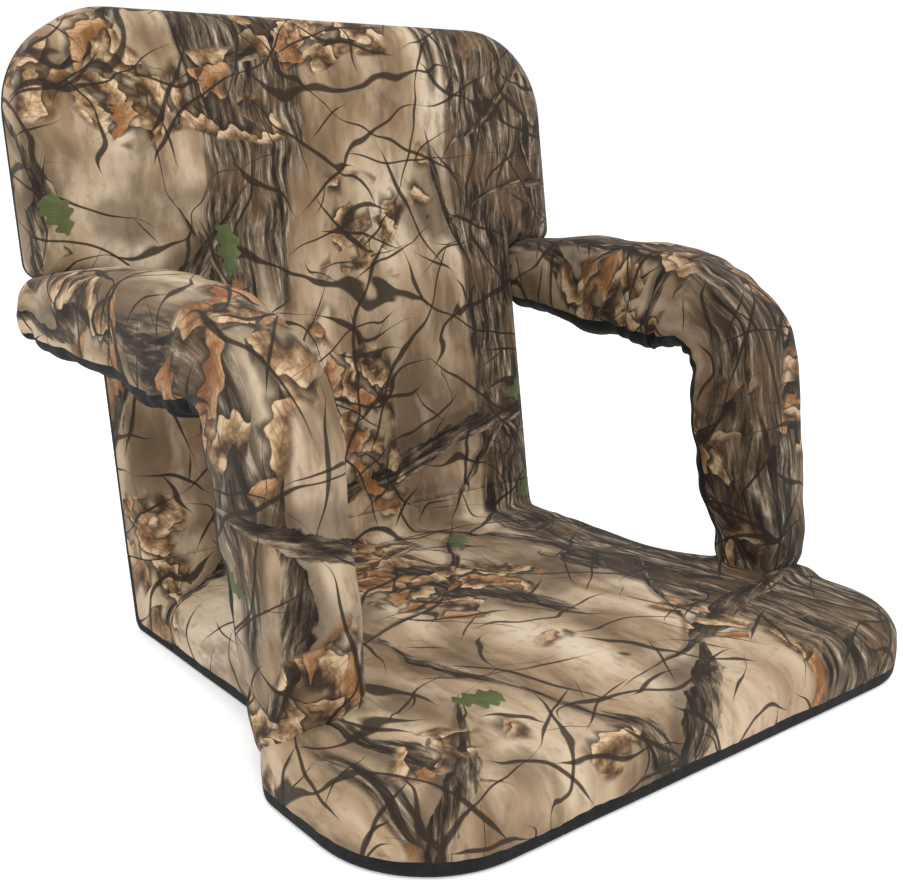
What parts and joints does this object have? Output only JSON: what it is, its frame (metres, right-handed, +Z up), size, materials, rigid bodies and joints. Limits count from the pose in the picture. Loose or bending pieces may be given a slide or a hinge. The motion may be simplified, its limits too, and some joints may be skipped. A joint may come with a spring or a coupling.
{
  "type": "padded folding stadium seat",
  "caption": "Padded folding ground seat with a reclining back and padded armrests that fold with it, covered in a woodland print.",
  "frame": {"origin": "on the flat underside, at the middle of the seat's width and halfway along its depth", "axes": "+X to the sitter's left, -Y to the front of the seat, +Z up"},
  "size_m": [0.53, 0.5362, 0.5061],
  "materials": {
    "print_fabric": "woven polyester, printed",
    "black_fabric": "woven polyester, matt",
    "foam": "open-cell foam",
    "webbing": "woven",
    "black_steel": "powder-coated, satin",
    "zinc_steel": "zinc-plated"
  },
  "bodies": {
    "seat": {"seat_bottom_pan": "black_fabric", "seat_cover": "print_fabric", "seat_cross_tube": "black_steel", "seat_foam": "foam", "seat_frame_tube": "black_steel", "seat_support_sheet": "webbing", "left_hinge_seat_plate": "black_steel", "left_hinge_rivet": "zinc_steel", "left_post_bracket": "black_steel", "left_post_stub": "black_steel", "left_post_bolt": "zinc_steel", "left_post_boot": "print_fabric", "right_hinge_seat_plate": "black_steel", "right_hinge_rivet": "zinc_steel", "right_post_bracket": "black_steel", "right_post_stub": "black_steel", "right_post_bolt": "zinc_steel", "right_post_boot": "print_fabric"},
    "back": {"back_cover": "print_fabric", "back_cross_tube": "black_steel", "back_foam": "foam", "back_frame_tube": "black_steel", "back_rear_panel": "black_fabric", "back_support_sheet": "webbing", "hinge_cover": "print_fabric", "left_hinge_back_plate": "black_steel", "left_arm_bracket": "black_steel", "left_arm_stub": "black_steel", "left_arm_bolt": "zinc_steel", "left_arm_boot": "print_fabric", "right_hinge_back_plate": "black_steel", "right_arm_bracket": "black_steel", "right_arm_stub": "black_steel", "right_arm_bolt": "zinc_steel", "right_arm_boot": "print_fabric"},
    "left_arm": {"left_arm_bar": "black_steel", "left_arm_sleeve": "print_fabric", "left_elbow_rivet": "zinc_steel"},
    "left_post": {"left_post_bar": "black_steel", "left_post_sleeve": "print_fabric"},
    "right_arm": {"right_arm_bar": "black_steel", "right_arm_sleeve": "print_fabric", "right_elbow_rivet": "zinc_steel"},
    "right_post": {"right_post_bar": "black_steel", "right_post_sleeve": "print_fabric"}
  },
  "joints": [
    {"name": "back_hinge", "type": "hinge", "parent": "seat", "child": "back", "pos_m": [0, 0.18733, 0.04013], "axis": [1, 0, 0], "range_deg": [-45, 65], "deforming": ["hinge_cover"]},
    {"name": "left_arm_pivot", "type": "hinge", "parent": "back", "child": "left_arm", "pos_m": [0.2375, 0.21239, 0.25982], "axis": [1, 0, 0], "range_deg": [-65, 45], "deforming": ["left_arm_boot", "left_arm_sleeve"]},
    {"name": "left_elbow", "type": "hinge", "parent": "left_arm", "child": "left_post", "pos_m": [0.2375, -0.04094, 0.25269], "axis": [1, 0, 0], "range_deg": [-45, 65], "deforming": ["left_post_sleeve"]},
    {"name": "right_arm_pivot", "type": "hinge", "parent": "back", "child": "right_arm", "pos_m": [-0.2375, 0.21239, 0.25982], "axis": [1, 0, 0], "range_deg": [-65, 45], "deforming": ["right_arm_boot", "right_arm_sleeve"]},
    {"name": "right_elbow", "type": "hinge", "parent": "right_arm", "child": "right_post", "pos_m": [-0.2375, -0.04094, 0.25269], "axis": [1, 0, 0], "range_deg": [-45, 65], "deforming": ["right_post_sleeve"]}
  ],
  "couplings": [
    {"joint": "left_arm_pivot", "follows": "back_hinge", "ratio": -1},
    {"joint": "left_elbow", "follows": "back_hinge", "ratio": 1},
    {"joint": "right_arm_pivot", "follows": "back_hinge", "ratio": -1},
    {"joint": "right_elbow", "follows": "back_hinge", "ratio": 1}
  ]
}
